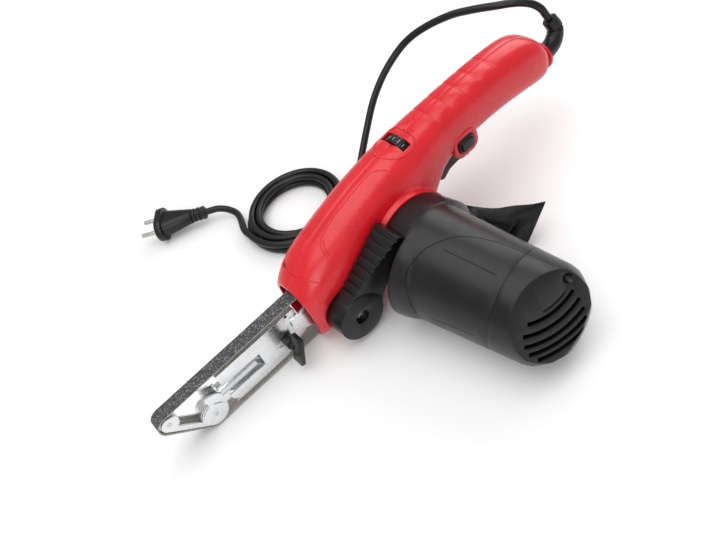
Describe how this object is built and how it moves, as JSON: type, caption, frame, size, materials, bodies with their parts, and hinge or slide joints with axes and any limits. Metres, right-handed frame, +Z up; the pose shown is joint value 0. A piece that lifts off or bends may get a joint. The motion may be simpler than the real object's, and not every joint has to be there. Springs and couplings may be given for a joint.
{
  "type": "power file",
  "caption": "Corded belt file with a curved pistol handle, a motor across its side and a slim swivelling arm that runs a narrow abrasive belt over a sprung nose.",
  "frame": {"origin": "On the floor under the middle of the tool's box, measured without the cord and plug.", "axes": "+X along the arm to the belt's tip, +Y to the motor's side, +Z up."},
  "size_m": [0.4894, 0.4493, 0.1213],
  "materials": {
    "red_plastic": "satin moulded",
    "black_plastic": "fine grained moulding",
    "cast_alloy": "cast and plated",
    "steel": "turned",
    "bearing_steel": "ground",
    "iron_core": "stacked sheets",
    "copper": "enamelled wire",
    "brass": "drawn",
    "carbon": "pressed carbon",
    "drive_rubber": "moulded",
    "abrasive": "coated cloth",
    "bag_cloth": "woven nylon",
    "cord_rubber": "smooth sheath",
    "board": "lacquered",
    "plated_pin": "nickel plated"
  },
  "bodies": {
    "body": {"housing_left": "red_plastic", "housing_right": "red_plastic", "belt_cover": "black_plastic", "motor_housing": "black_plastic", "motor_end_cap": "black_plastic", "bearing_carrier": "steel", "cover_bearing_seat": "steel", "drive_bearings": "bearing_steel", "timing_belt": "drive_rubber", "front_bearing": "bearing_steel", "rear_bearing": "bearing_steel", "bearing_bracket": "cast_alloy", "stator_core": "iron_core", "field_coils": "copper", "brush_holders": "brass", "carbon_brushes": "carbon", "dust_port": "black_plastic", "dust_bag": "bag_cloth", "lever_stud": "steel", "lever_screw": "steel", "trigger_pin": "steel", "trigger_spring": "steel", "switch_body": "black_plastic", "speed_board": "board", "cord_clamp": "black_plastic", "strain_relief": "cord_rubber", "cord_lead": "cord_rubber", "cord_coil": "cord_rubber", "cord_tail": "cord_rubber", "plug_body": "cord_rubber", "plug_pins": "plated_pin", "housing_screws": "steel", "end_cap_screws": "steel", "cover_screws": "steel"},
    "rotor": {"rotor_shaft": "steel", "armature_core": "iron_core", "armature_windings": "copper", "commutator": "copper", "cooling_fan": "black_plastic", "motor_pulley": "steel"},
    "drive": {"drive_shaft": "steel", "drive_wheel": "drive_rubber", "driven_pulley": "black_plastic"},
    "arm": {"arm_frame": "cast_alloy", "arm_rail": "steel", "abrasive_belt": "abrasive", "tension_spring": "steel"},
    "nose": {"nose_fork": "cast_alloy", "plunger_rod": "steel", "tip_pin": "steel", "idler_pin": "steel"},
    "tip_wheel": {"tip_roller": "steel"},
    "idler_wheel": {"idler_roller": "cast_alloy"},
    "wing": {"wing_screw": "black_plastic"},
    "lever": {"swivel_lever": "black_plastic"},
    "trigger_body": {"trigger": "black_plastic"},
    "button": {"lock_button": "black_plastic"},
    "dial": {"speed_dial": "black_plastic"}
  },
  "joints": [
    {"name": "rotor_spin", "type": "hinge", "parent": "body", "child": "rotor", "pos_m": [-0.02465, 0, 0.0412], "axis": [0, 1, 0], "continuous": true},
    {"name": "drive_spin", "type": "hinge", "parent": "body", "child": "drive", "pos_m": [0.05335, -0.0785, 0.027], "axis": [0, 1, 0], "continuous": true},
    {"name": "arm_swivel", "type": "hinge", "parent": "body", "child": "arm", "pos_m": [0.05335, -0.0785, 0.027], "axis": [0, 1, 0], "range_deg": [0, 40]},
    {"name": "nose_slide", "type": "slide", "parent": "arm", "child": "nose", "axis": [1, 0, 0], "range_m": [-0.004, 0], "stiffness_N_per_m": 1500, "springref_m": 0.004, "deforming": ["tension_spring"]},
    {"name": "tip_spin", "type": "hinge", "parent": "nose", "child": "tip_wheel", "pos_m": [0.21985, -0.0785, 0.0407], "axis": [0, 1, 0], "continuous": true},
    {"name": "idler_spin", "type": "hinge", "parent": "nose", "child": "idler_wheel", "pos_m": [0.18915, -0.0785, 0.014], "axis": [0, 1, 0], "continuous": true},
    {"name": "wing_screw_turn", "type": "hinge", "parent": "arm", "child": "wing", "pos_m": [0.10735, -0.0665, 0.023], "axis": [0, 1, 0], "continuous": true},
    {"name": "lever_turn", "type": "hinge", "parent": "body", "child": "lever", "pos_m": [0.05335, -0.0385, 0.027], "axis": [0, 1, 0], "range_deg": [0, 75]},
    {"name": "trigger_pull", "type": "hinge", "parent": "body", "child": "trigger_body", "pos_m": [-0.08866, -0.0785, 0.06516], "axis": [0, 1, 0], "range_deg": [0, 7], "stiffness_Nm_per_rad": 0.8, "springref_deg": -6.88, "deforming": ["trigger_spring"]},
    {"name": "lock_button_press", "type": "slide", "parent": "body", "child": "button", "axis": [0, -1, 0], "range_m": [0, 0.003], "stiffness_N_per_m": 800, "springref_m": -0.001},
    {"name": "speed_dial_turn", "type": "hinge", "parent": "body", "child": "dial", "pos_m": [-0.05666, -0.0785, 0.09579], "axis": [1, 0, 0], "range_deg": [-130, 130]}
  ],
  "couplings": [
    {"joint": "drive_spin", "follows": "rotor_spin", "ratio": 0.61111},
    {"joint": "tip_spin", "follows": "rotor_spin", "ratio": 1.8118},
    {"joint": "idler_spin", "follows": "rotor_spin", "ratio": 1.2126}
  ]
}
